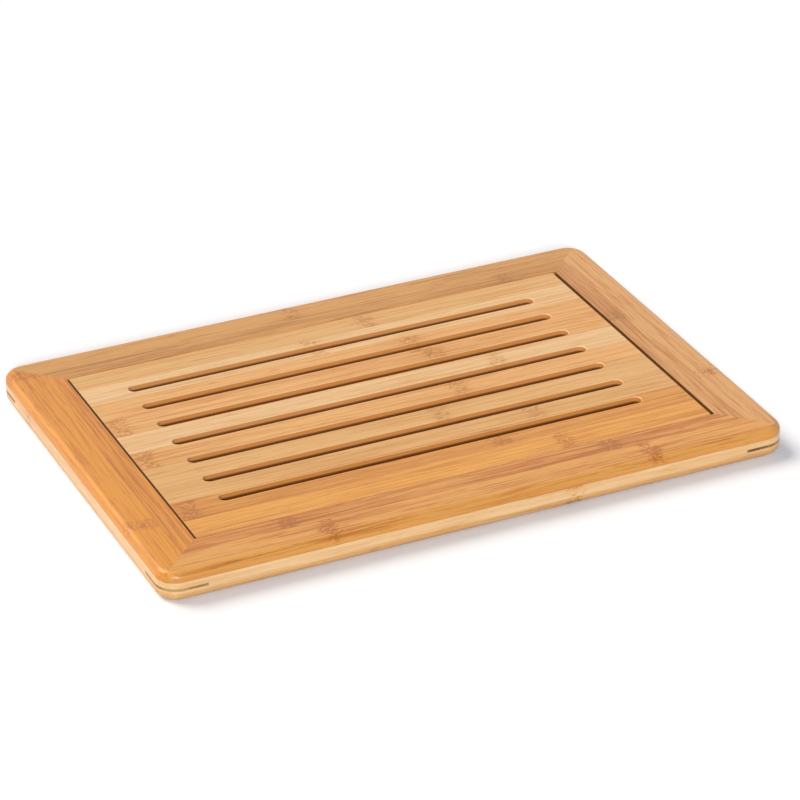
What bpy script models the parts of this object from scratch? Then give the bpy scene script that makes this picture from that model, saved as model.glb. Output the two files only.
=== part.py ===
"""Bread board with a crumb tray.

A slotted grid lies loose in a mitred frame, flush with the frame's top, and crumbs fall through its
slots on to the floor of a shallow tray. The grid lifts straight out so that the tray can be emptied.
"""

import math

import bpy
import bmesh
from mathutils import Matrix, Vector

# The board in metres: X along its length, Y towards the back, Z up from the table.
BOARD_LENGTH = 0.420
BOARD_DEPTH = 0.290
BOARD_HEIGHT = 0.020
CORNER_RADIUS = 0.014

# The frame: two layers of four mitred rails, the lower ones wider so that they carry the grid.
RAIL_WIDTH = 0.034
LEDGE_WIDTH = 0.008
TOP_RAIL_HEIGHT = 0.0065
TOP_ROUND = 0.0050
BASE_ROUND = 0.0058
EDGE_EASE = 0.0004
GLUE_LINE = 0.0001

# Thin plates glued into saw kerfs across the corners of the lower rails.
SPLINE_REACH = 0.029
SPLINE_HEIGHT = 0.0016
SPLINE_DROP = 0.0048

# The tray's floor, let into a rabbet under the lower rails.
FLOOR_THICKNESS = 0.003
FLOOR_RECESS = 0.0005
FLOOR_LAP = 0.006
FLOOR_CLEARANCE = 0.0003

# The grid: edge-glued strips, loose in the frame and pushed to the left, with room for a
# fingernail on the right.
GRID_GAP_LEFT = 0.0010
GRID_GAP_RIGHT = 0.0022
GRID_GAP_ALONG = 0.0006
GRID_SEAT_GAP = 0.0003

# Full-width strips between two outer ones, which are trimmed to these shares of a full strip.
FULL_STRIPS = 8
FRONT_STRIP_SHARE = 0.885
BACK_STRIP_SHARE = 0.815

# The slots: round-ended, with their upper rims rounded over. The plain wood in front of them and
# behind them, to their middle lines, is given in shares of their pitch.
SLOT_COUNT = 7
SLOT_WIDTH = 0.008
SLOT_END_MARGIN = 0.0301
SLOT_RIM_ROUND = 0.0008
FRONT_MARGIN_SHARE = 1.46
BACK_MARGIN_SHARE = 1.18

# How far cutting shapes run past what they cut.
OVERRUN = 0.002

# Facets along the rounded forms.
CORNER_STEPS = 8
ROUND_STEPS = 6
RIM_STEPS = 4
SLOT_END_STEPS = 14
SMOOTH_ANGLE = math.radians(30)

# Sizes that follow from those above.
BASE_RAIL_HEIGHT = BOARD_HEIGHT - TOP_RAIL_HEIGHT - GLUE_LINE
BASE_RAIL_WIDTH = RAIL_WIDTH + LEDGE_WIDTH
RABBET_DEPTH = FLOOR_RECESS + FLOOR_THICKNESS + GLUE_LINE
GRID_LENGTH = BOARD_LENGTH - 2 * RAIL_WIDTH - GRID_GAP_LEFT - GRID_GAP_RIGHT
GRID_DEPTH = BOARD_DEPTH - 2 * RAIL_WIDTH - 2 * GRID_GAP_ALONG
GRID_OFFSET = (GRID_GAP_LEFT - GRID_GAP_RIGHT) / 2
GRID_HEIGHT = BOARD_HEIGHT - BASE_RAIL_HEIGHT - GRID_SEAT_GAP
STRIP_WIDTH = GRID_DEPTH / (FRONT_STRIP_SHARE + FULL_STRIPS + BACK_STRIP_SHARE)
SLOT_PITCH = GRID_DEPTH / (FRONT_MARGIN_SHARE + SLOT_COUNT - 1 + BACK_MARGIN_SHARE)

# Name: sRGB colour and roughness of the oiled bamboo.
FINISHES = {
    "bamboo_caramel": ((0.83, 0.60, 0.37), 0.40),
    "bamboo_blond": ((0.93, 0.75, 0.47), 0.45),
    "bamboo_straw": ((0.90, 0.73, 0.52), 0.42),
    "bamboo_honey": ((0.86, 0.65, 0.41), 0.42),
    "bamboo_knot": ((0.70, 0.45, 0.24), 0.50),
}
# Tones of the grid's strips, from the front to the back.
STRIP_TONES = ("honey", "honey", "straw", "straw", "honey", "straw", "honey", "honey", "straw", "straw")


def clear_scene():
    """Remove every object, so that the board is built in an empty scene."""
    for item in list(bpy.data.objects):
        bpy.data.objects.remove(item)


def linear(value):
    """Linear light value of one sRGB channel."""
    return ((value + 0.055) / 1.055) ** 2.4


def bamboo(name):
    """The named bamboo finish, made on first use."""
    found = bpy.data.materials.get(name)
    if found:
        return found
    colour, roughness = FINISHES[name]
    finish = bpy.data.materials.new(name)
    finish.use_nodes = True
    shader = finish.node_tree.nodes["Principled BSDF"]
    shader.inputs["Base Color"].default_value = [linear(value) for value in colour] + [1.0]
    shader.inputs["Roughness"].default_value = roughness
    shader.inputs["Metallic"].default_value = 0.0
    return finish


def loft(name, loops):
    """Mesh of a closed solid through outlines with matching points, lowest first, each anticlockwise."""
    shape = bmesh.new()
    rings = [[shape.verts.new(point) for point in loop] for loop in loops]
    for low, high in zip(rings, rings[1:]):
        for here in range(len(low)):
            after = (here + 1) % len(low)
            shape.faces.new((low[here], low[after], high[after], high[here]))
    shape.faces.new(reversed(rings[0]))
    shape.faces.new(rings[-1])
    mesh = bpy.data.meshes.new(name)
    shape.to_mesh(mesh)
    shape.free()
    return mesh


def box(name, size, centre, turn=0.0):
    """Mesh of a block of that size about a centre, turned about Z."""
    shape = bmesh.new()
    seat = Matrix.Translation(centre) @ Matrix.Rotation(turn, 4, "Z") @ Matrix.Diagonal((*size, 1.0))
    bmesh.ops.create_cube(shape, size=1.0, matrix=seat)
    mesh = bpy.data.meshes.new(name)
    shape.to_mesh(mesh)
    shape.free()
    return mesh


def place(name, mesh, finish=None, location=(0.0, 0.0, 0.0), turn=0.0, parent=None):
    """An object of that mesh, finished, moved and turned about Z within its parent."""
    item = bpy.data.objects.new(name, mesh)
    item.location = location
    item.rotation_euler = (0.0, 0.0, turn)
    item.parent = parent
    if finish and not mesh.materials:
        mesh.materials.append(bamboo(finish))
    bpy.context.collection.objects.link(item)
    return item


def carve(item, cutters):
    """Cut the cutters out of an object's mesh."""
    for cutter in cutters:
        cut = item.modifiers.new("cut", "BOOLEAN")
        cut.operation = "DIFFERENCE"
        cut.solver = "EXACT"
        cut.object = cutter
    graph = bpy.context.evaluated_depsgraph_get()
    graph.update()
    cut_mesh = bpy.data.meshes.new_from_object(item.evaluated_get(graph))
    cut_mesh.name = item.data.name
    item.modifiers.clear()
    item.data = cut_mesh


def discard(items):
    """Remove cutting shapes that have done their work."""
    for item in items:
        bpy.data.objects.remove(item)


def soften(mesh):
    """Shade a mesh smooth, keeping its real edges sharp."""
    mesh.shade_smooth()
    mesh.set_sharp_from_angle(angle=SMOOTH_ANGLE)


def round_inset(rise, radius):
    """How far a quarter round has drawn in at a rise above its start."""
    risen = min(max(rise, 0.0), radius)
    return radius - math.sqrt(radius ** 2 - risen ** 2)


def ease_inset(rise):
    """How far an eased edge has drawn in at a rise above its start."""
    return min(max(rise, 0.0), EDGE_EASE)


def round_rises(radius, steps):
    """Rises at even angles along a quarter round, from its start to its end."""
    return [radius * math.sin(math.pi / 2 * step / steps) for step in range(steps + 1)]


def rail_loop(length, inset, reach, height):
    """Outline of a mitred rail at one height.

    The rail's outer face lies along Y = 0 and its ends take half of each rounded corner. An inset moves
    the outer face in and tightens the corners with it, so every outline ends on the same two mitres, each
    half a glue line short of the diagonal.
    """
    radius = CORNER_RADIUS - inset
    corner_x = length / 2 - CORNER_RADIUS
    start = math.asin(GLUE_LINE / 2 / radius)
    sweep = math.pi / 4 - start
    corner = []
    for step in range(CORNER_STEPS + 1):
        angle = 5 * math.pi / 4 + start + sweep * step / CORNER_STEPS
        corner.append((corner_x - radius * math.cos(angle), CORNER_RADIUS + radius * math.sin(angle)))
    inner_x = length / 2 - reach - GLUE_LINE / math.sqrt(2)
    left = [Vector((-x, y, height)) for x, y in corner]
    right = [Vector((x, y, height)) for x, y in reversed(corner)]
    return left + right + [Vector((inner_x, reach, height)), Vector((-inner_x, reach, height))]


def top_rail_mesh(length):
    """Upper rail: a full round on its outer top edge, eased where it meets the seam and the grid."""
    top = TOP_RAIL_HEIGHT
    heights = {0.0, EDGE_EASE, top - EDGE_EASE}
    heights.update(top - TOP_ROUND + rise for rise in round_rises(TOP_ROUND, ROUND_STEPS))
    loops = []
    for height in sorted(heights):
        inset = round_inset(height - (top - TOP_ROUND), TOP_ROUND) + ease_inset(EDGE_EASE - height)
        reach = RAIL_WIDTH - ease_inset(height - (top - EDGE_EASE))
        loops.append(rail_loop(length, inset, reach, height))
    mesh = loft("top_rail", loops)
    soften(mesh)
    return mesh


def base_inset(height):
    """How far the lower rails' outer face draws in at a height above the table."""
    return round_inset(BASE_ROUND - height, BASE_ROUND) + ease_inset(height - (BASE_RAIL_HEIGHT - EDGE_EASE))


def kerf_height():
    """Height of the middle of the splines' saw kerfs above the table."""
    return BASE_RAIL_HEIGHT - SPLINE_DROP


def kerf_box(length, side):
    """Saw kerf across one end of a lower rail: a flat block square to the mitre."""
    depth = SPLINE_REACH / math.sqrt(2)
    size = (depth + OVERRUN, 2 * (depth + OVERRUN), SPLINE_HEIGHT + 2 * GLUE_LINE)
    from_corner = (depth - OVERRUN) / 2 / math.sqrt(2)
    centre = (side * (length / 2 - from_corner), from_corner, kerf_height())
    return box("kerf", size, centre, -side * math.pi / 4)


def base_rail_mesh(length):
    """Lower rail: round outer bottom edge, ledge for the grid, rabbet for the floor, kerfs for the splines."""
    heights = {BASE_RAIL_HEIGHT - EDGE_EASE, BASE_RAIL_HEIGHT}
    heights.update(BASE_ROUND - rise for rise in round_rises(BASE_ROUND, ROUND_STEPS))
    loops = []
    for height in sorted(heights):
        reach = BASE_RAIL_WIDTH - ease_inset(height - (BASE_RAIL_HEIGHT - EDGE_EASE))
        loops.append(rail_loop(length, base_inset(height), reach, height))
    rail = place("base_rail", loft("base_rail", loops))
    rabbet_edge = BASE_RAIL_WIDTH - FLOOR_LAP - FLOOR_CLEARANCE
    rabbet_size = (length, BASE_RAIL_WIDTH + OVERRUN - rabbet_edge, RABBET_DEPTH + OVERRUN)
    rabbet_centre = (0.0, (rabbet_edge + BASE_RAIL_WIDTH + OVERRUN) / 2, (RABBET_DEPTH - OVERRUN) / 2)
    cutters = [place("rabbet", box("rabbet", rabbet_size, rabbet_centre))]
    cutters += [place("kerf", kerf_box(length, side)) for side in (-1, 1)]
    carve(rail, cutters)
    mesh = rail.data
    discard([rail] + cutters)
    soften(mesh)
    return mesh


def build_frame():
    """Both layers of mitred rails, each layer with a pair of long and a pair of short rails."""
    sides = {
        "front": (BOARD_LENGTH, (0.0, -BOARD_DEPTH / 2), 0.0),
        "right": (BOARD_DEPTH, (BOARD_LENGTH / 2, 0.0), math.pi / 2),
        "back": (BOARD_LENGTH, (0.0, BOARD_DEPTH / 2), math.pi),
        "left": (BOARD_DEPTH, (-BOARD_LENGTH / 2, 0.0), -math.pi / 2),
    }
    layers = {
        "top_rail": (top_rail_mesh, BASE_RAIL_HEIGHT + GLUE_LINE, "bamboo_caramel"),
        "base_rail": (base_rail_mesh, 0.0, "bamboo_blond"),
    }
    for layer, (rail_mesh, height, finish) in layers.items():
        meshes = {length: rail_mesh(length) for length in (BOARD_LENGTH, BOARD_DEPTH)}
        for side, (length, (x, y), turn) in sides.items():
            place(f"{layer}_{side}", meshes[length], finish, (x, y, height), turn)


def spline_loop(height):
    """Outline of a corner spline at one height, with the board's sharp corner at the origin."""
    inset = base_inset(height)
    radius = CORNER_RADIUS - inset
    chord = SPLINE_REACH - math.sqrt(2) * GLUE_LINE - inset
    points = [Vector((inset, chord, height))]
    for step in range(2 * CORNER_STEPS + 1):
        angle = math.pi + math.pi / 2 * step / (2 * CORNER_STEPS)
        x = CORNER_RADIUS + radius * math.cos(angle)
        y = CORNER_RADIUS + radius * math.sin(angle)
        points.append(Vector((x, y, height)))
    return points + [Vector((chord, inset, height))]


def build_splines():
    """A plate in the kerf across each corner, flush with the rounded outside."""
    low = kerf_height() - SPLINE_HEIGHT / 2
    mesh = loft("corner_spline", [spline_loop(low), spline_loop(low + SPLINE_HEIGHT)])
    soften(mesh)
    corners = {
        "front_left": (-1, -1, 0.0),
        "front_right": (1, -1, math.pi / 2),
        "back_right": (1, 1, math.pi),
        "back_left": (-1, 1, -math.pi / 2),
    }
    for corner, (side_x, side_y, turn) in corners.items():
        location = (side_x * BOARD_LENGTH / 2, side_y * BOARD_DEPTH / 2, 0.0)
        place(f"corner_spline_{corner}", mesh, "bamboo_knot", location, turn)


def block_loop(length, depth, inset_ends, inset_front, inset_back, height):
    """Outline of a block at one height, drawn in at its ends, its front and its back."""
    x = length / 2 - inset_ends
    front = -depth / 2 + inset_front
    back = depth / 2 - inset_back
    return [Vector((-x, front, height)), Vector((x, front, height)),
            Vector((x, back, height)), Vector((-x, back, height))]


def block_mesh(name, length, depth, height, eased_front=True, eased_back=True):
    """Flat block on Z = 0 with eased ends, and eased long edges where they aren't glued."""
    loops = []
    for rise in (0.0, EDGE_EASE, height - EDGE_EASE, height):
        inset = ease_inset(EDGE_EASE - rise) + ease_inset(rise - (height - EDGE_EASE))
        loops.append(block_loop(length, depth, inset, inset * eased_front, inset * eased_back, rise))
    return loft(name, loops)


def build_floor():
    """Thin panel in the rabbet under the lower rails, clear of the table."""
    inside = 2 * (BASE_RAIL_WIDTH - FLOOR_LAP)
    mesh = block_mesh("tray_floor", BOARD_LENGTH - inside, BOARD_DEPTH - inside, FLOOR_THICKNESS)
    soften(mesh)
    place("tray_floor", mesh, "bamboo_straw", (0.0, 0.0, FLOOR_RECESS))


def slot_loop(half_width, height):
    """Round-ended outline of a slot at one height, about the slot's own middle."""
    centre_x = GRID_LENGTH / 2 - SLOT_END_MARGIN - SLOT_WIDTH / 2
    points = []
    for side in (1, -1):
        for step in range(SLOT_END_STEPS + 1):
            angle = math.pi * (step / SLOT_END_STEPS - 1 / 2)
            x = centre_x + half_width * math.cos(angle)
            points.append(Vector((side * x, side * half_width * math.sin(angle), height)))
    return points


def slot_cutter_mesh():
    """Cutting shape of one slot: plain below, flared above so that it leaves a rounded upper rim."""
    profile = [(SLOT_WIDTH / 2 + EDGE_EASE, -OVERRUN), (SLOT_WIDTH / 2 + EDGE_EASE, 0.0),
               (SLOT_WIDTH / 2, EDGE_EASE)]
    for rise in round_rises(SLOT_RIM_ROUND, RIM_STEPS):
        profile.append((SLOT_WIDTH / 2 + round_inset(rise, SLOT_RIM_ROUND), GRID_HEIGHT - SLOT_RIM_ROUND + rise))
    profile.append((SLOT_WIDTH / 2 + SLOT_RIM_ROUND, GRID_HEIGHT + OVERRUN))
    return loft("slot", [slot_loop(half_width, height) for half_width, height in profile])


def strip_edges():
    """Places of the joints between the strips along Y, from the grid's front edge to its back edge."""
    front = -GRID_DEPTH / 2
    joints = [front + STRIP_WIDTH * (FRONT_STRIP_SHARE + number) for number in range(FULL_STRIPS + 1)]
    return [front] + joints + [GRID_DEPTH / 2]


def build_grid():
    """The strips side by side on the lifting axis, then all slots routed through them."""
    axis = place("grid_lift_axis", None, None, (GRID_OFFSET, 0.0, BASE_RAIL_HEIGHT + GRID_SEAT_GAP))
    slot_mesh = slot_cutter_mesh()
    first_slot = -GRID_DEPTH / 2 + SLOT_PITCH * FRONT_MARGIN_SHARE
    slots = [place("slot", slot_mesh, None, (0.0, first_slot + SLOT_PITCH * number, 0.0), 0.0, axis)
             for number in range(SLOT_COUNT)]
    edges = strip_edges()
    for number, (front, back) in enumerate(zip(edges, edges[1:]), start=1):
        first = number == 1
        last = number == len(edges) - 1
        front_joint = 0.0 if first else GLUE_LINE / 2
        back_joint = 0.0 if last else GLUE_LINE / 2
        depth = back - front - front_joint - back_joint
        middle = (front + front_joint + back - back_joint) / 2
        name = f"grid_strip_{number:02d}"
        tone = STRIP_TONES[(number - 1) % len(STRIP_TONES)]
        mesh = block_mesh(name, GRID_LENGTH, depth, GRID_HEIGHT, first, last)
        strip = place(name, mesh, f"bamboo_{tone}", (0.0, middle, 0.0), 0.0, axis)
        reach = depth / 2 + SLOT_WIDTH / 2 + SLOT_RIM_ROUND
        carve(strip, [slot for slot in slots if abs(slot.location.y - middle) < reach])
        soften(strip.data)
    discard(slots)


clear_scene()
build_frame()
build_splines()
build_floor()
build_grid()
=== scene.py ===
# %% [markdown]
# # A bamboo bread board with a crumb tray
# The board is two layers of mitred rails, a slotted grid of edge-glued strips that lies loose in the
# frame, and a thin floor below it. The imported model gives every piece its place. This script lays
# finer surfaces over those pieces, gives them oiled bamboo, and lights them on a white table.

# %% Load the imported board
from functools import partial

import bpy
import numpy as np
from mathutils import Matrix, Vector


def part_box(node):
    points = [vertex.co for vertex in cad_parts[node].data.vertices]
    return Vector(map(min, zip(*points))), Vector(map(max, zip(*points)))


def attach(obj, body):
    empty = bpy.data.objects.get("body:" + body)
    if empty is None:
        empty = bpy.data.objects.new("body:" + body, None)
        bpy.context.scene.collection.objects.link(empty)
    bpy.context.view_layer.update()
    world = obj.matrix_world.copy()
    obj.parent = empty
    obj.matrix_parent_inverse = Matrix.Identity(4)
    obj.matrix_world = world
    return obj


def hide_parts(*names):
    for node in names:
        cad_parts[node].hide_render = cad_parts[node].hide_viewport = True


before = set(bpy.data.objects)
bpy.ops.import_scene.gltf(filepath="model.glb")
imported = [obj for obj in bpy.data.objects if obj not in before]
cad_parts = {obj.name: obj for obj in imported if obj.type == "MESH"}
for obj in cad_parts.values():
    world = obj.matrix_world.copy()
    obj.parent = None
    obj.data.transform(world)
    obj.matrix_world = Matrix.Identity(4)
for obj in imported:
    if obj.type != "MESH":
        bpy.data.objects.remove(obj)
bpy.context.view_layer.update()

# %% [markdown]
# ## Sizes, measured from the model
# A piece that stands for a solid has to end where the solid ends. So the sizes are read from the
# solids' boxes, and only the small roundings, which a box doesn't show, are written here.

# %% Measure the solids
def span(node):
    """Lowest and highest corner of a solid, as arrays."""
    low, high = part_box(node)
    return np.array(low), np.array(high)


board_low = np.min([span(node)[0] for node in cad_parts], axis=0)
board_high = np.max([span(node)[1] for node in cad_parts], axis=0)
LENGTH, DEPTH, TOP = board_high - board_low * [1, 1, 0]
caramel_low, caramel_high = span("top_rail_front")
blond_low, blond_high = span("base_rail_front")
spline_low, spline_high = span("corner_spline_front_left")
CARAMEL_REACH = (caramel_high - caramel_low)[1]
BLOND_REACH = (blond_high - blond_low)[1]
SPLINE_REACH = (spline_high - spline_low)[0]

CORNER = 0.014
CARAMEL_ROUND = 0.005
BLOND_ROUND = 0.0058
EASE = 0.0004
GLUE = 0.0001
HAIRLINE = 0.00002
print("board in mm:", np.round([LENGTH * 1e3, DEPTH * 1e3, TOP * 1e3], 1))

# %% [markdown]
# ## Surfaces from numbers
# Every new piece is a closed profile that moves through space: a grid of points with one row for
# each place along the way and one column for each point of the profile. Neighbouring points make
# the faces, and the first and the last row close the ends. A sculpted or box-modelled mesh could
# look the same, but here a size changes in one place.

# %% A skin over a grid of points
def skin(name, points):
    """A closed piece: quads between neighbours of a (row, column) grid of points, columns wrapping
    round, with the first row and the last row as end faces."""
    rows, columns = points.shape[:2]
    row = np.arange(rows - 1)[:, None] * columns
    here = np.arange(columns)[None, :]
    after = (here + 1) % columns
    quads = np.stack([row + here, row + columns + here, row + columns + after, row + after], axis=-1)
    ends = [list(range(columns)), list(range(rows * columns - 1, (rows - 1) * columns - 1, -1))]
    mesh = bpy.data.meshes.new(name)
    mesh.from_pydata(points.reshape(-1, 3).tolist(), [], quads.reshape(-1, 4).tolist() + ends)
    made = bpy.data.objects.new(name, mesh)
    bpy.context.scene.collection.objects.link(made)
    return made


def arc(centre, radius, start, end, steps):
    """Points along part of a circle: centre plus radius times cosine and sine of even angles."""
    angle = np.radians(np.linspace(start, end, steps + 1))
    return np.stack([centre[0] + radius * np.cos(angle), centre[1] + radius * np.sin(angle)], axis=1)


# %% Apply modifiers and set the shading
SHARP_ANGLE = np.radians(32)


def settle(made):
    """Replace a piece's mesh by what its modifiers make of it."""
    graph = bpy.context.evaluated_depsgraph_get()
    graph.update()
    mesh = bpy.data.meshes.new_from_object(made.evaluated_get(graph))
    made.modifiers.clear()
    made.data = mesh


def shade(made):
    """Smooth shading with real edges kept, and normals weighted so that flat faces stay flat."""
    made.data.shade_smooth()
    made.data.set_sharp_from_angle(angle=SHARP_ANGLE)
    made.modifiers.new("flat faces first", "WEIGHTED_NORMAL").keep_sharp = True
    settle(made)


def cut(made, cutters):
    """Take cutting shapes out of a piece."""
    for cutter in cutters:
        step = made.modifiers.new("cut", "BOOLEAN")
        step.operation = "DIFFERENCE"
        step.solver = "EXACT"
        step.object = cutter
    settle(made)


# %% [markdown]
# ## The mitred rails
# Each rail is milled to one profile, sawn at 45 degrees at both ends and glued into a frame. Then
# the frame's corners are rounded on a template, so the outer part of the profile turns round the
# corner while the inner part runs straight into the mitre. The path below does the same: at an
# inset smaller than the corner's radius it begins with an eighth of a circle.

# %% The way along a rail
# Length of the side, size of the board across it, and quarter turns from the front.
SIDES = {
    "front": (LENGTH, DEPTH, 0),
    "right": (DEPTH, LENGTH, 1),
    "back": (LENGTH, DEPTH, 2),
    "left": (DEPTH, LENGTH, 3),
}


def follow(length, inset, share):
    """Half a rail's line at one inset from its outer face, share 0 at the mitre and 1 at the middle.

    The line is an arc of radius (corner - inset) over 45 degrees, then straight. Past the corner's
    radius the arc has no length and the line starts on the mitre itself. Both start half a hairline
    away from the diagonal, because a glued joint closes."""
    centre = np.maximum(CORNER, inset)
    radius = np.maximum(CORNER - inset, 0)
    turn = radius * np.pi / 4
    start = np.where(radius > 0, HAIRLINE / 2, HAIRLINE / np.sqrt(2))
    run = start + (turn + length / 2 - centre - start) * share
    angle = np.pi / 4 - np.minimum(run, turn) / np.maximum(radius, HAIRLINE)
    x = length / 2 - centre + radius * np.sin(angle) - np.maximum(run - turn, 0)
    y = centre - radius * np.cos(angle)
    return x, y


# Most rows stand close together where the line turns round the corner, the others far apart.
CORNER_ROWS = np.linspace(0, 0.085, 26)
STRAIGHT_ROWS = np.linspace(0.13, 1, 8)


def rail(name, side, profile):
    """A rail with that profile of (inset, height) points, carried from mitre to mitre on one side of
    the board: both halves of the path, then quarter turns about the board's middle."""
    length, across, turns = SIDES[side]
    share = np.concatenate([CORNER_ROWS, STRAIGHT_ROWS])[:, None]
    x, y = follow(length, profile[None, :, 0], share)
    x = np.concatenate([-x, x[-2::-1]])
    y = np.concatenate([y, y[-2::-1]]) - across / 2
    height = np.broadcast_to(profile[:, 1], x.shape)
    for turn in range(turns):
        x, y = -y, x
    return skin(name, np.stack([x, y, height], axis=-1))


# %% [markdown]
# The upper rails are caramel bamboo, steamed until its sugar browns. Their outer top edge has a
# full round, and their inner edge is only eased with sandpaper.

# %% Caramel rails
# Points on the flat faces, which keep the quads even where the corner's arc ends.
TOP_INSETS = (0.011, 0.020, 0.028)
FLAT_INSETS = (0.010, 0.024)

low, high, reach = caramel_low[2], caramel_high[2], CARAMEL_REACH
caramel_profile = np.concatenate([
    arc((EASE, low + EASE), EASE, 270, 180, 3),
    arc((CARAMEL_ROUND, high - CARAMEL_ROUND), CARAMEL_ROUND, 180, 90, 14),
    [(inset, high) for inset in (CARAMEL_ROUND + EASE, *TOP_INSETS)],
    arc((reach - EASE, high - EASE), EASE, 90, 0, 4),
    [(inset, low) for inset in (reach, *reversed(FLAT_INSETS))],
])
caramel_rails = {}
for side in SIDES:
    made = rail(f"caramel_rail_{side}", side, caramel_profile)
    shade(made)
    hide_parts(f"top_rail_{side}")
    caramel_rails[side] = made
print("caramel rail:", len(caramel_profile), "points in its profile,", len(made.data.polygons), "faces")

# %% [markdown]
# The lower rails are blond bamboo, wider by the ledge that carries the grid. Below they are
# rounded, and a rabbet on their inner side takes the floor. After glueing, a saw kerf is cut flat
# across each corner and a thin plate is glued into it, which ties the mitre together.

# %% Blond rails and their kerfs
low, high, reach = blond_low[2], blond_high[2], BLOND_REACH
floor_low, floor_high = span("tray_floor")
rabbet_height = floor_high[2] + GLUE
rabbet_inset = floor_low[1] + DEPTH / 2 - 3 * GLUE
blond_profile = np.concatenate([
    arc((BLOND_ROUND, low + BLOND_ROUND), BLOND_ROUND, 270, 180, 14),
    arc((EASE, high - EASE), EASE, 180, 90, 3),
    [(inset, high) for inset in FLAT_INSETS],
    arc((reach - EASE, high - EASE), EASE, 90, 0, 4),
    [(reach, rabbet_height), (rabbet_inset, rabbet_height)],
    [(inset, low) for inset in (rabbet_inset, *reversed(FLAT_INSETS))],
])


def kerf(turns):
    """Cutting shape for one corner: a flat triangle over the corner, a glue line wider than its plate."""
    reach, over = SPLINE_REACH + 2 * GLUE, 0.004
    across = (LENGTH, DEPTH) if turns % 2 == 0 else (DEPTH, LENGTH)
    x = across[0] / 2 + np.array([-reach - over, over, over])
    y = -across[1] / 2 + np.array([-over, -over, reach + over])
    for turn in range(turns):
        x, y = -y, x
    heights = np.array([spline_high[2] + GLUE, spline_low[2] - GLUE])[:, None]
    return skin("kerf", np.stack(np.broadcast_arrays(x[None], y[None], heights), axis=-1))


kerfs = [kerf(turns) for turns in range(4)]
blond_rails = {}
for side, (length, across, turns) in SIDES.items():
    made = rail(f"blond_rail_{side}", side, blond_profile)
    cut(made, [kerfs[turns], kerfs[turns - 1]])
    shade(made)
    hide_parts(f"base_rail_{side}")
    blond_rails[side] = made
for cutter in kerfs:
    bpy.data.objects.remove(cutter)
plate_height = spline_high[2] - spline_low[2]
print("blond rail:", len(made.data.polygons), "faces, plate", round(plate_height * 1e3, 2), "mm high")

# %% [markdown]
# The plates in the corners are sanded flush with the rounded outside, so each one shows on the
# board's side as a short dark line that bends round the corner.

# %% Corner plates
def plate(name, turns):
    """A plate over one corner: straight along both faces and an arc round the corner, at two heights."""
    across = (LENGTH, DEPTH) if turns % 2 == 0 else (DEPTH, LENGTH)
    bend = arc((across[0] / 2 - CORNER, -across[1] / 2 + CORNER), CORNER, -90, 0, 28)
    outline = np.concatenate([[(across[0] / 2 - SPLINE_REACH, -across[1] / 2)], bend,
                              [(across[0] / 2, -across[1] / 2 + SPLINE_REACH)]])
    x, y = outline.T
    for turn in range(turns):
        x, y = -y, x
    heights = np.array([spline_high[2], spline_low[2]])[:, None]
    return skin(name, np.stack(np.broadcast_arrays(x[None], y[None], heights), axis=-1))


corner_plates = []
for turns, corner in enumerate(("front_right", "back_right", "back_left", "front_left")):
    made = plate(f"corner_plate_{corner}", turns)
    shade(made)
    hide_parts(f"corner_spline_{corner}")
    corner_plates.append(made)
print("corner plates:", len(corner_plates))

# %% [markdown]
# ## The slotted grid
# Ten strips are glued side by side into a flat panel, and a router then cuts seven slots through
# the panel, so a slot runs across the joints. A second, rounding bit takes the sharp edge off the
# slots' upper rims. Cutting the same slot shape out of each strip gives the same result, and every
# strip stays a piece of its own.

# %% The shape of a slot
strips = [f"grid_strip_{number:02d}" for number in range(1, 11)]
grid_low = np.min([span(node)[0] for node in strips], axis=0)
grid_high = np.max([span(node)[1] for node in strips], axis=0)
SLOTS = 7
OVERRUN = 0.002
SLOT_HALF = 0.004
RIM = 0.0008
SLOT_INSET = 0.0301
FRONT_MARGIN, BACK_MARGIN = 1.46, 1.18  # in slot pitches
SLOT_PITCH = (grid_high - grid_low)[1] / (FRONT_MARGIN + SLOTS - 1 + BACK_MARGIN)
slot_middles = grid_low[1] + SLOT_PITCH * (FRONT_MARGIN + np.arange(SLOTS))


def slot(middle):
    """Cutting shape of a slot: a stadium outline, half its width at each height the slot's own half
    width plus what the rounded rim has drawn back, radius minus root of (radius squared - rise squared)."""
    rise = RIM * np.sin(np.radians(np.linspace(90, 0, 9)))
    flare = RIM - np.sqrt(np.maximum(RIM ** 2 - rise ** 2, 0))
    half = SLOT_HALF + np.concatenate([[RIM], flare, [0, EASE, EASE]])
    base = grid_low[2]
    height = np.concatenate([[TOP + OVERRUN], TOP - RIM + rise, [base + EASE, base, base - OVERRUN]])
    turn = np.radians(np.linspace(-90, 90, 25))
    end_x = np.array([grid_low[0], grid_high[0]]) + np.array([1, -1]) * (SLOT_INSET + SLOT_HALF)
    right = np.stack([end_x[1] + half[:, None] * np.cos(turn), half[:, None] * np.sin(turn)], axis=-1)
    left = np.stack([end_x[0] - half[:, None] * np.cos(turn), -half[:, None] * np.sin(turn)], axis=-1)
    outline = np.concatenate([right, left], axis=1)
    heights = np.broadcast_to(height[:, None], outline.shape[:2])
    return skin("slot", np.stack([outline[..., 0], outline[..., 1] + middle, heights], axis=-1))


slots = [slot(middle) for middle in slot_middles]
print("slots:", len(slots), "pitch", round(SLOT_PITCH * 1e3, 2), "mm")


# %% Strips with slots through them
STRIP_EASE = 0.0003


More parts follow.
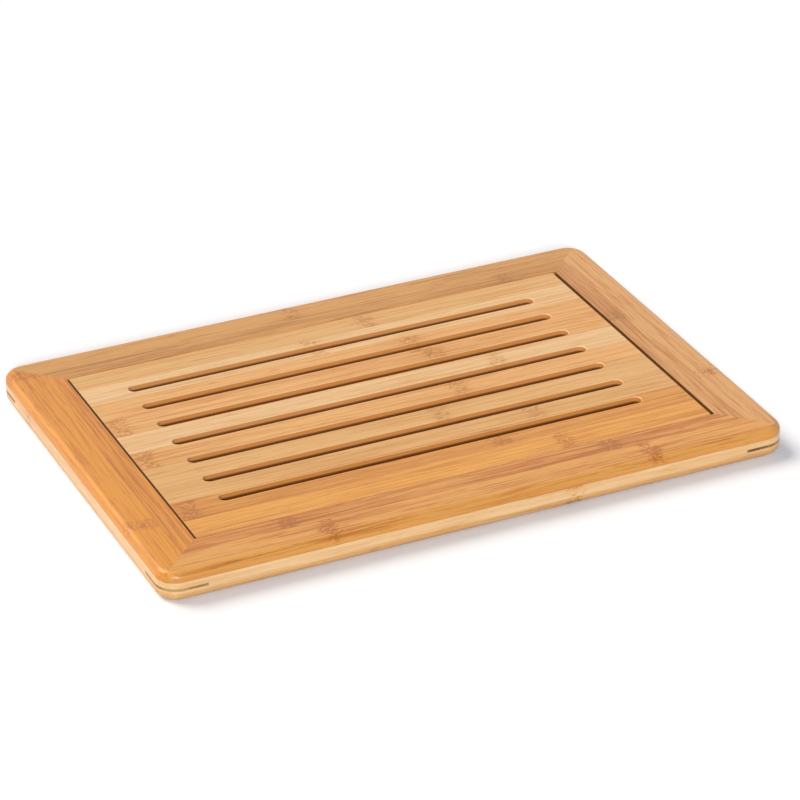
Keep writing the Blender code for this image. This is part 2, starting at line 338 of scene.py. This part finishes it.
def strip(name, low, high, front_free, back_free):
    """A strip: its rectangle at each height, drawn in by a rounded edge where it isn't glued."""
    bend = np.radians(np.linspace(90, 0, 6))
    inset = np.concatenate([STRIP_EASE * (1 - np.cos(bend)), [0, EASE]])[:, None]
    height = np.concatenate([high[2] - STRIP_EASE * (1 - np.sin(bend)), [low[2] + EASE, low[2]]])[:, None]
    x = np.concatenate([low[0] + inset, high[0] - inset, high[0] - inset, low[0] + inset], axis=1)
    front = low[1] + inset * front_free
    back = high[1] - inset * back_free
    y = np.concatenate([front, front, back, back], axis=1)
    return skin(name, np.stack([x, y, np.broadcast_to(height, x.shape)], axis=-1))


bamboo_strips = {}
for number, node in enumerate(strips, start=1):
    low, high = span(node)
    made = strip(f"bamboo_strip_{number:02d}", low, high, number == 1, number == 10)
    near = [cutter for cutter, middle in zip(slots, slot_middles)
            if low[1] - SLOT_HALF - RIM < middle < high[1] + SLOT_HALF + RIM]
    cut(made, near)
    shade(made)
    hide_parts(node)
    bamboo_strips[number] = made
for cutter in slots:
    bpy.data.objects.remove(cutter)
print("strips:", [len(made.data.polygons) for made in bamboo_strips.values()])

# %% [markdown]
# ## Oiled bamboo
# Bamboo has no rings. It is a bundle of fibres, seen on a face as fine darker lines that run its
# whole length, and every hand's breadth or two a knuckle of the cane crosses them as a brown,
# speckled band. On an end the fibres show as dots. Painted textures could show all this, but each
# face would need its own. Here it is worked out from the object's own coordinates, so the same
# pattern runs over faces, rounds and slot walls as it does in solid wood.

# %% Colours and nodes
def linear(code):
    """Linear colour of an sRGB hex code: value / 12.92 near black, else ((value + 0.055) / 1.055) ** 2.4."""
    srgb = np.array([int(code[at:at + 2], 16) for at in (1, 3, 5)]) / 255
    return [*np.where(srgb <= 0.04045, srgb / 12.92, ((srgb + 0.055) / 1.055) ** 2.4), 1.0]


def add(tree, kind, *inputs, **settings):
    """Add a node: settings are its own options, and inputs fill its sockets in order. Each is a value,
    or the socket or node to link from, and None leaves the socket as it is."""
    made = tree.nodes.new("ShaderNode" + kind)
    for key, value in settings.items():
        setattr(made, key, value)
    open_sockets = [socket for socket in made.inputs if socket.enabled]
    for socket, value in zip(open_sockets, inputs):
        if isinstance(value, bpy.types.Node):
            value = next(output for output in value.outputs if output.enabled)
        if isinstance(value, bpy.types.NodeSocket):
            tree.links.new(value, socket)
        elif value is not None:
            socket.default_value = value
    return made


# %% [markdown]
# The marks in the wood are noise, stretched along the grain: bundles of fibres 50 mm long and
# 1.4 mm wide, broader streaks that follow the growth of the cane, and short dashes for its open
# pores. Real bundles are half as wide, but at that size they would vanish between the pixels, so
# they are drawn twice as coarse.

# %% The marks in bamboo
# Length and width of a mark in mm, the noise's detail, and the noise values that become 0 and 1.
PATTERNS = {
    "bundles": (50, 1.43, 2.0, 0.42, 0.60),
    "fibres": (38, 0.77, 1.0, 0.36, 0.64),
    "streaks": (143, 2.94, 3.0, 0.38, 0.62),
    "growth": (167, 22.2, 2.0, 0.30, 0.70),
    "pores": (13.3, 1.32, 1.0, 0.60, 0.70),
    "speckle": (3.0, 1.92, 2.0, 0.36, 0.64),
}
# How much each of them deepens the colour.
SHARES = {"bundles": 0.48, "fibres": 0.20, "streaks": 0.40, "growth": 0.30, "pores": 0.36}
NOISE_ROUGHNESS = 0.6


def stretched(length, width):
    """How often noise repeats in a metre along the grain and across it, for marks of that size in mm."""
    return 1000 / length, 1000 / width, 1000 / width


def grain(node, wood):
    """The marks at a place in the wood, each from 0 to 1: noise stretched along X, then cut."""
    marks = {}
    for key, (length, width, detail, low_cut, high_cut) in PATTERNS.items():
        stretch = node("VectorMath", wood, stretched(length, width), operation="MULTIPLY")
        value = node("TexNoise", stretch, 1.0, detail, NOISE_ROUGHNESS)
        marks[key] = node("MapRange", value, low_cut, high_cut, interpolation_type="SMOOTHSTEP")
    return marks


print("marks in mm along and across the grain:", {name: row[:2] for name, row in PATTERNS.items()})

# %% [markdown]
# A knuckle is where the cane had a wall across it. The fibres cross over there, so on a sawn face
# it is a band a centimetre or so long, full of dark specks, with no sharp edge.

# %% Knuckles and bent fibres
FIBRE_SWAY = 260.0  # repeats in a metre, one bend in 4 mm
KNUCKLE_BEND = 0.004
DRIFT = 0.003


def knuckle_bands(node, shifted, x, y, knuckles):
    """Two masks: bands across the grain whose edges wander with noise, and a wider glow round each
    that falls evenly to nothing at four half lengths."""
    stretch = node("VectorMath", shifted, stretched(14, 6), operation="MULTIPLY")
    wander = node("Math", node("TexNoise", stretch, 1.0, 2.0), 0.5, operation="SUBTRACT")
    bands = glow = 0.0
    for middle, across, half in knuckles:
        distance = node("Math", x, middle, operation="SUBTRACT")
        wandered = node("Math", wander, half * 2.0, distance, operation="MULTIPLY_ADD")
        wandered = node("Math", wandered, operation="ABSOLUTE")
        band = node("MapRange", wandered, half * 1.3, half * 0.3, interpolation_type="SMOOTHSTEP")
        halo = node("MapRange", node("Math", distance, operation="ABSOLUTE"), half * 4, 0.0)
        if across is not None:
            side = node("Math", node("Math", y, across[0], operation="SUBTRACT"), operation="ABSOLUTE")
            inside = node("Math", side, across[1], operation="LESS_THAN")
            band = node("Math", band, inside, operation="MULTIPLY")
            halo = node("Math", halo, inside, operation="MULTIPLY")
        bands = node("Math", bands, band, operation="MAXIMUM")
        glow = node("Math", glow, halo, operation="MAXIMUM")
    return bands, glow


def bent(node, shifted, bands):
    """Where the fibres really run: they sway inside a knuckle, and drift a little everywhere."""
    sway = node("TexNoise", shifted, FIBRE_SWAY, 1.0).outputs["Color"]
    sway = node("VectorMath", sway, (0.5, 0.5, 0.5), operation="SUBTRACT")
    bend = node("VectorMath", sway, node("Math", bands, KNUCKLE_BEND, operation="MULTIPLY"), operation="MULTIPLY")
    slow = node("TexNoise", node("VectorMath", shifted, stretched(110, 33), operation="MULTIPLY"), 1.0, 1.0)
    drift = node("VectorMath", slow, (0.0, DRIFT, 0.0), bend, operation="MULTIPLY_ADD")
    return node("VectorMath", shifted, drift)


# %% [markdown]
# Some colours follow the cut, and some are painted light and shade. Upright faces turn a warmer
# orange: partly the tone of fibres cut from the side, partly painted light. Low on a slot wall the
# colour is painted shade, the slots' rounded rims get a painted highlight, and the faces along the
# gaps round the grid get painted shade. These follow from where a face looks and how high it lies,
# so they need no painted texture.

# %% Cut tones, painted shade and painted highlights
KNUCKLE_BROWN = "#986419"
# Slot walls: partly the tone of fibres cut from the side, partly painted bounce light.
SIDE_CUT_AND_BOUNCE_ORANGE = "#E0964C"
# Painted shade on the lower part of a slot wall.
SLOT_SHADE_BROWN = "#5E2E10"
# Painted shade on the faces along the gaps round the grid.
GAP_SHADE_BROWN = "#7A4C20"
# Painted highlight on the slots' rounded rims.
RIM_HIGHLIGHT_CREAM = "#F6D3A6"
# Heights where that painted shade on a slot wall begins and where it is full.
SLOT_SHADE_STARTS, SLOT_SHADE_FULL = TOP - 0.0028, TOP - 0.0036
# How strong that painted highlight is.
RIM_HIGHLIGHT_STRENGTH = 0.5
# How close to such a face its painted shade begins and where it is full.
GAP_SHADE_EDGE, GAP_SHADE_FULL = 0.0004, 0.0001


def cut_tones_and_painted_light(node, colour, place, upright, walls, painted_slot_light, shaded_faces):
    """The colour with the cut's tones, painted shade and painted highlights on it. upright is the size of
    the normal's Z part, so 0.7 to 0.3 is the turn from a face that lies flat to one that stands."""
    # Upright faces: partly the tone of fibres cut from the side, partly painted light.
    if walls is not None:
        wall = node("MapRange", upright, 0.7, 0.3, 0.0, walls[1])
        colour = node("Mix", wall, colour, linear(walls[0]), data_type="RGBA")
    if painted_slot_light:
        # Painted shade on the lower part of the slot walls.
        lower = node("MapRange", place[2], SLOT_SHADE_STARTS, SLOT_SHADE_FULL)
        slot_shade = node("Math", wall, lower, operation="MULTIPLY")
        colour = node("Mix", slot_shade, colour, linear(SLOT_SHADE_BROWN), data_type="RGBA")
        # A painted highlight on the slots' rounded rims, between flat and upright faces.
        below, above = node("MapRange", upright, 0.3, 0.6), node("MapRange", upright, 0.99, 0.9)
        rim = node("Math", node("Math", below, above, operation="MULTIPLY"), RIM_HIGHLIGHT_STRENGTH, operation="MULTIPLY")
        colour = node("Mix", rim, colour, linear(RIM_HIGHLIGHT_CREAM), data_type="RGBA")
    # Painted shade on the faces along the grid's gaps.
    for axis, face, sign in shaded_faces:
        outside = node("MapRange", place[axis], face - GAP_SHADE_EDGE * sign, face - GAP_SHADE_FULL * sign)
        colour = node("Mix", outside, colour, linear(GAP_SHADE_BROWN), data_type="RGBA")
    return colour


# %% [markdown]
# One function makes all the bamboo from these parts. A Mapping node turns the grain's direction on
# to X, and a shift gives every piece a different part of the noise. Everything adds up to one
# number, how deep the colour is: 0 is the pale tone, 1 the deep one, and above that the brown of a
# knuckle. Sanded and oiled, the wood is satin. The thin coat of oil gives it soft white reflections
# at a low angle.

# %% The bamboo material
END_DOTS = 1100.0  # repeats in a metre, one bundle in 0.9 mm
LANE_SPREAD, LANE_TONES, LANE_SEAM = 0.2, 0.5, 0.3
# The last of these deepens the blond rails' lower round, partly for denser fibres and partly as painted shade.
SPECK_DEPTH, GLOW_DEPTH, DENSE_AND_SHADE_DEPTH = 0.9, 0.15, 0.7
OUTER_LIGHTER, INNER_DEEPER, JOINT_DEPTH = 0.18, 0.48, 0.2
BUMP_STRENGTH, BUMP_HEIGHT = 0.35, 0.00012
WOOD_IOR = 1.45
OIL_COAT, OIL_ROUGHNESS = 0.25, 0.2


def bamboo(name, pale, deep, turn=0, shift=(0, 0, 0), knuckles=(), joint=None, gloss=0.45, contrast=1.0,
           walls=None, painted_slot_light=False, dense_and_shaded_below=None, shaded_faces=(), lane=None):
    """Bamboo, sanded fine and oiled.

    knuckles are (along, across, half length) in metres in the board's frame, where across is None
    or (middle, half width). joint is the place of a glue joint across the grain, and the wood
    beyond it is taken from another cane, a little deeper in colour. walls is a colour and how far
    upright faces go towards it, partly the tone of fibres cut from the side and partly painted
    light. routed adds painted shade low on the slot walls and a painted highlight on their rims.
    dense_and_shaded_below is the height below which the colour deepens, partly for the denser fibres of the
    cane's outer side and partly as painted shade. soaked lists (axis, place, sign) of faces along
    the gaps round the grid that get painted shade, and lane is the width of the strips that a
    panel is glued from, each with its knuckles and tone shifted by a die throw of its own."""
    material = bpy.data.materials.new(name)
    material.use_nodes = True
    node = partial(add, material.node_tree)

    spot = node("TexCoord").outputs["Object"]
    along = node("Mapping", spot, None, (0, 0, -turn * np.pi / 2))
    x, y, z = place = node("SeparateXYZ", along).outputs
    shifted = node("VectorMath", along, shift)
    if joint is not None:
        beyond = node("Math", y, joint, operation="GREATER_THAN")
        shifted = node("VectorMath", beyond, (0.83, 0.0, 1.0), shifted, operation="MULTIPLY_ADD")
    if lane is not None:
        count = node("Math", y, lane, operation="DIVIDE")
        dice = node("TexWhiteNoise", node("Math", count, operation="FLOOR"), noise_dimensions="1D")
        x = node("Math", dice, LANE_SPREAD, x, operation="MULTIPLY_ADD")
        shifted = node("VectorMath", dice.outputs["Color"], (3.0, 3.0, 3.0), shifted, operation="MULTIPLY_ADD")

    # How deep the colour is: marks of the grain, specks in the knuckles and a glow round them.
    bands, glow = knuckle_bands(node, shifted, x, y, knuckles)
    marks = grain(node, bent(node, shifted, bands))
    depth = 0.5 - contrast * sum(SHARES.values()) / 2
    for key, share in SHARES.items():
        depth = node("Math", marks[key], share * contrast, depth, operation="MULTIPLY_ADD")
    specks = node("Math", marks["speckle"], SPECK_DEPTH, -0.02, operation="MULTIPLY_ADD")
    depth = node("Math", bands, specks, depth, operation="MULTIPLY_ADD")
    depth = node("Math", glow, GLOW_DEPTH, depth, operation="MULTIPLY_ADD")
    if lane is not None:
        lighter = node("Math", depth, LANE_TONES / 2, operation="SUBTRACT")
        depth = node("Math", dice, LANE_TONES, lighter, operation="MULTIPLY_ADD")
        seam = node("Math", count, 0.5, operation="PINGPONG")
        depth = node("Math", node("MapRange", seam, 0.02, 0.005), LANE_SEAM, depth, operation="MULTIPLY_ADD")
    # Below that height the colour deepens: partly denser fibres, partly painted shade on the round that faces down.
    if dense_and_shaded_below is not None:
        dense_and_shade = node("MapRange", z, dense_and_shaded_below + 0.0008, dense_and_shaded_below - 0.0008, 0.0, DENSE_AND_SHADE_DEPTH)
        depth = node("Math", depth, dense_and_shade)

    # An end shows the fibres as dots instead of lines.
    normal = node("Mapping", node("TexCoord").outputs["Normal"], None, (0, 0, -turn * np.pi / 2))
    normal = node("SeparateXYZ", normal).outputs
    end = node("MapRange", node("Math", normal[0], operation="ABSOLUTE"), 0.75, 0.95, interpolation_type="SMOOTHSTEP")
    dots = node("MapRange", node("TexVoronoi", shifted, END_DOTS), 0.15, 0.45, 1.5, 0.8)
    depth = node("Math", end, dots, depth, operation="MULTIPLY_ADD")

    # Beyond the joint the tone is deeper, and the glue line shows as a thin brown seam.
    if joint is not None:
        lighter = node("Math", depth, OUTER_LIGHTER, operation="SUBTRACT")
        depth = node("Math", beyond, INNER_DEEPER, lighter, operation="MULTIPLY_ADD")
        side = node("Math", node("Math", y, joint, operation="SUBTRACT"), operation="ABSOLUTE")
        depth = node("Math", node("MapRange", side, 0.0005, 0.0001), JOINT_DEPTH, depth, operation="MULTIPLY_ADD")

    tone = node("MapRange", depth, 0.0, 1.0)
    colour = node("Mix", tone, linear(pale), linear(deep), data_type="RGBA")
    brown = node("MapRange", depth, 1.0, 2.2)
    colour = node("Mix", brown, colour, linear(KNUCKLE_BROWN), data_type="RGBA")
    upright = node("Math", normal[2], operation="ABSOLUTE")
    colour = cut_tones_and_painted_light(node, colour, place, upright, walls, painted_slot_light, shaded_faces)

    # Pores are hollows. The bundles' pith is a little rougher than the fibres, and an end most of all.
    relief = node("Math", marks["pores"], -0.8, marks["fibres"], operation="MULTIPLY_ADD")
    rough = node("Math", marks["bundles"], 0.08, gloss - 0.04, operation="MULTIPLY_ADD")
    rough = node("Math", end, 0.12, rough, operation="MULTIPLY_ADD")
    bump = node("Bump", BUMP_STRENGTH, BUMP_HEIGHT, None, relief)

    shader = material.node_tree.nodes["Principled BSDF"]
    links = material.node_tree.links
    links.new(colour.outputs[2], shader.inputs["Base Color"])
    links.new(rough.outputs[0], shader.inputs["Roughness"])
    links.new(bump.outputs[0], shader.inputs["Normal"])
    shader.inputs["IOR"].default_value = WOOD_IOR
    shader.inputs["Coat Weight"].default_value = OIL_COAT
    shader.inputs["Coat Roughness"].default_value = OIL_ROUGHNESS
    return material


def dress(made, material):
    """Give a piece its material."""
    made.data.materials.clear()
    made.data.materials.append(material)


# %% [markdown]
# A caramel rail is glued from two strips, the inner one a little deeper in colour. Each has its own
# knuckles, some 210 mm apart. The long rails' grain runs along X and the short ones' along Y, and
# where they meet at the mitre the change of direction shows the joint. The outer round and the
# sides turn a warmer orange: partly the tone of fibres cut from the side, partly painted light.

# %% Caramel finish
INNER_STRIP = 0.0135
OUTER_STRIP = CARAMEL_REACH - INNER_STRIP
# The outer round and sides: partly the tone of fibres cut from the side, partly painted light.
SIDE_CUT_AND_LIGHT_ORANGE = ("#F4A046", 0.45)
# Pale tone, deep tone, and the knuckles: place along the rail, 0 outer or 1 inner strip, half length.
CARAMEL = {
    "front": ("#DD9B48", "#B76512",
              [(-0.119, 1, 0.007), (-0.099, 0, 0.006), (0.099, 1, 0.007), (0.118, 0, 0.006)]),
    "right": ("#D99E5C", "#B8732E", [(-0.060, 0, 0.006), (0.035, 1, 0.006)]),
    "back": ("#CF944B", "#AF7025", [(0.199, 1, 0.006), (0.010, 0, 0.006), (-0.140, 1, 0.006)]),
    "left": ("#DE9024", "#BE6C12", [(0.083, 0, 0.007), (-0.128, 0, 0.007)]),
}
for number, (side, (pale, deep, marks)) in enumerate(CARAMEL.items()):
    length, across, turns = SIDES[side]
    face = -across / 2
    bands = [(face + OUTER_STRIP / 2, OUTER_STRIP / 2),
             (face + CARAMEL_REACH - INNER_STRIP / 2, INNER_STRIP / 2)]
    knuckles = [(middle, bands[row], half) for middle, row, half in marks]
    # Painted shade on the inner face of the left and right rails, above the gaps at the grid's ends.
    gap_shade_face = [(1, face + CARAMEL_REACH, 1)] if side in ("left", "right") else []
    finish = bamboo(f"caramel_bamboo_oiled_{side}", pale, deep, turns, (0.31 * number, 0.17, 0.05 * number),
                    knuckles, face + OUTER_STRIP, 0.42, 1.25, SIDE_CUT_AND_LIGHT_ORANGE, shaded_faces=gap_shade_face)
    dress(caramel_rails[side], finish)
print("caramel finishes:", len(CARAMEL))

# %% [markdown]
# Blond bamboo is dried but not steamed. It keeps its straw colour, and its fibres hardly show. The
# lower round is deeper in colour: partly the denser outer side of the cane, partly painted shade on
# the round that faces down. The floor is a thin panel glued from narrow strips, and the corner
# plates are brown, with a darker end.

# %% Blond finish, floor and corner plates
for number, (side, (length, across, turns)) in enumerate(SIDES.items()):
    # The blond rails' lower round is deeper in colour, partly denser fibres and partly painted shade.
    finish = bamboo(f"blond_bamboo_oiled_{side}", "#FFD298", "#EEB06A", turns, (0.27 * number, 0.4, 0.3),
                    [(0.06 - 0.05 * number, None, 0.006)], None, 0.42, 0.8, dense_and_shaded_below=BLOND_ROUND + EASE)
    dress(blond_rails[side], finish)

finish = bamboo("straw_bamboo_sanded_floor", "#DDB584", "#C99558", 0, (0.5, 0.9, 0.1),
                [(-0.17, None, 0.006), (0.04, None, 0.006)], None, 0.5, 0.9, lane=0.022)
dress(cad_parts["tray_floor"], finish)

PLATES = [("front_right", "#D9A662", "#6B3D16", 0.188), ("back_right", "#D9A662", "#6B3D16", 0.190),
          ("back_left", "#D9A662", "#7A4A1C", -0.190), ("front_left", "#DDB478", "#B5853E", -0.187)]
for made, (corner, pale, deep, dark_end) in zip(corner_plates, PLATES):
    finish = bamboo(f"brown_bamboo_sanded_edge_{corner}", pale, deep, 0, (0.2, 0.2, 0.7),
                    [(dark_end, None, 0.008)], None, 0.5, 0.3)
    dress(made, finish)
print("floor and", len(PLATES), "plates dressed")

# %% [markdown]
# The grid's strips come from different canes, so their tones change from strip to strip: that is
# the pattern that the eye takes for the board. Five tones are enough, and every strip has its own
# shift and knuckles.

# %% Strip finish
TONES = {
    "pale": ("#E9BE86", "#D69E5C", "bamboo_straw"),
    "wheat": ("#DFAA67", "#C98C43", "bamboo_straw"),
    "honey": ("#E5AA63", "#C88236", "bamboo_honey"),
    "amber": ("#E49E40", "#C2761F", "bamboo_honey"),
    "toffee": ("#D99338", "#B76B1B", "bamboo_honey"),
}
# Tone of each strip, and its knuckles: place along the strip, half length.
STRIPS = {
    10: ("wheat", [(0.030, 0.007)]),
    9: ("pale", [(-0.015, 0.007)]),
    8: ("honey", [(0.045, 0.008)]),
    7: ("honey", [(-0.169, 0.008), (0.052, 0.007)]),
    6: ("pale", [(0.085, 0.007)]),
    5: ("honey", [(-0.168, 0.008), (0.047, 0.007)]),
    4: ("wheat", [(0.020, 0.007)]),
    3: ("wheat", [(0.075, 0.007)]),
    2: ("toffee", [(-0.166, 0.007), (0.040, 0.007)]),
    1: ("amber", [(0.076, 0.006)]),
}
# Painted shade on the strips' ends, which face the gaps at the left and right.
gap_shade_ends = [(0, grid_low[0], -1), (0, grid_high[0], 1)]
for number, (tone, marks) in STRIPS.items():
    pale, deep, slot_name = TONES[tone]
    knuckles = [(middle, None, half) for middle, half in marks]
    # The slot walls' orange is partly the tone of fibres cut from the side, partly painted bounce light.
    finish = bamboo(f"{tone}_bamboo_oiled_strip_{number:02d}", pale, deep, 0, (0.37 * number, 0.23 * number, 0.4),
                    # The True adds painted shade low in the slots and a painted highlight on their rims.
                    knuckles, None, 0.44, 1.0, (SIDE_CUT_AND_BOUNCE_ORANGE, 0.8), True, shaded_faces=gap_shade_ends)
    dress(bamboo_strips[number], finish)
print("strip finishes:", len(STRIPS))

# %% [markdown]
# ## Which body carries what
# The grid's strips ride on the grid, which lifts out; everything else stays with the tray.

# %% Bodies
for made in list(caramel_rails.values()) + list(blond_rails.values()) + corner_plates:
    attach(made, "tray")
for made in bamboo_strips.values():
    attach(made, "grid")

# %% [markdown]
# ## Table, light and camera
# A product picture of this kind is taken on a white sweep under big soft lights. Area lamps would
# do, but two sun lamps with a wide angle light the floor evenly however far it reaches, and still
# give a soft shadow to the right and in front. The world adds the glow of the white room. Together
# they bring a white floor to just about 1, the level at which a colour renders as it is written.
#
# The camera and the reflections see white paper and a white room. For the light that bounces on,
# both are darker, so that the board's underside edges keep their shade.

# %% Floor and world
FLOOR_HALF = 8.0
FLOOR_HEIGHT = -0.0001
ROOM_GLOW = 0.2


def seen_directly(tree):
    """1 for rays from the camera, a reflection or a see-through surface, and 0 for bounced light."""
    ray = add(tree, "LightPath").outputs
    seen = add(tree, "Math", ray["Is Camera Ray"], ray["Is Glossy Ray"], operation="MAXIMUM")
    return add(tree, "Math", seen, ray["Is Transmission Ray"], operation="MAXIMUM")


floor_mesh = bpy.data.meshes.new("white_sweep")
floor_points = np.array([(-1, -1), (1, -1), (1, 1), (-1, 1)]) * FLOOR_HALF
floor_points = np.column_stack([floor_points, np.full(4, FLOOR_HEIGHT)])
floor_mesh.from_pydata(floor_points.tolist(), [], [(0, 1, 2, 3)])
floor = bpy.data.objects.new("white_sweep", floor_mesh)
bpy.context.scene.collection.objects.link(floor)

paper = bpy.data.materials.new("white_paper_matt")
paper.use_nodes = True
paper_shader = paper.node_tree.nodes["Principled BSDF"]
shown = add(paper.node_tree, "Mix", seen_directly(paper.node_tree), linear("#BEBEBE"), linear("#FFFFFF"),
            data_type="RGBA")
paper.node_tree.links.new(shown.outputs[2], paper_shader.inputs["Base Color"])
paper_shader.inputs["Roughness"].default_value = 1.0
paper_shader.inputs["Specular IOR Level"].default_value = 0.0
floor_mesh.materials.append(paper)

world = bpy.data.worlds.new("white_room")
bpy.context.scene.world = world
world.use_nodes = True
room = world.node_tree
seen = seen_directly(room)
strength = add(room, "MapRange", seen, 0.0, 1.0, ROOM_GLOW, 1.0)
tint = add(room, "Mix", seen, linear("#EAF1FF"), linear("#FFFFFF"), data_type="RGBA")
room.links.new(tint.outputs[2], room.nodes["Background"].inputs["Color"])
room.links.new(strength.outputs[0], room.nodes["Background"].inputs["Strength"])
print("floor reaches", FLOOR_HALF, "m each way, room glow", ROOM_GLOW)


# %% [markdown]
# The window light is a little warm and the softbox a little cool. They add up to white on the top.
# In the window's shadow the cool one balances the warm light that the wood throws on the floor.

# %% Lamps
def lamp(name, direction, level, angle, tint):
    """A sun lamp shining from that direction, which brings a white floor to that level."""
    towards = np.array(direction, float) / np.linalg.norm(direction)
    data = bpy.data.lights.new(name, "SUN")
    data.energy = level * np.pi / towards[2]
    data.angle = np.radians(angle)
    data.color = linear(tint)[:3]
    made = bpy.data.objects.new(name, data)
    side = np.cross((0.0, 0.0, 1.0), towards)
    side /= np.linalg.norm(side)
    turned = np.stack([side, np.cross(towards, side), towards], axis=1)
    made.matrix_world = Matrix(turned.tolist()).to_4x4()
    bpy.context.scene.collection.objects.link(made)
    print(name, "energy", round(data.energy, 2))


lamp("window_behind_left", (-0.58, 0.72, 1.0), 0.58, 38, "#FFF7ED")
lamp("softbox_by_the_camera", (-0.33, -0.82, 0.42), 0.33, 11, "#EEF5FF")

# %% [markdown]
# The camera stands in front and to the left, a good two metres away, and looks down at 29 degrees
# through a long lens, so the board's edges stay nearly parallel. Its axes are written as they were
# measured, so the board lies in the picture just as in the photograph.

# %% Camera
SENSOR = 36.0
PICTURE_WIDTH = 800
FOCAL_PIXELS = 3579.9
CAMERA_PLACE = (-0.81611, -1.82803, 1.10965)

data = bpy.data.cameras.new("camera")
data.sensor_width = SENSOR
data.lens = SENSOR * FOCAL_PIXELS / PICTURE_WIDTH
camera = bpy.data.objects.new("camera", data)
right = np.array([0.908675, -0.417335, -0.011895])
back = np.array([-0.361170, -0.800039, 0.479055])
axes = np.stack([right, np.cross(back, right), back], axis=1)
camera.matrix_world = Matrix.Translation(CAMERA_PLACE) @ Matrix(axes.tolist()).to_4x4()
bpy.context.scene.collection.objects.link(camera)
bpy.context.scene.camera = camera
bpy.context.scene.view_settings.view_transform = "Standard"
print("camera lens", round(data.lens, 1), "mm")

# %% Update the scene, and the end
bpy.context.view_layer.update()
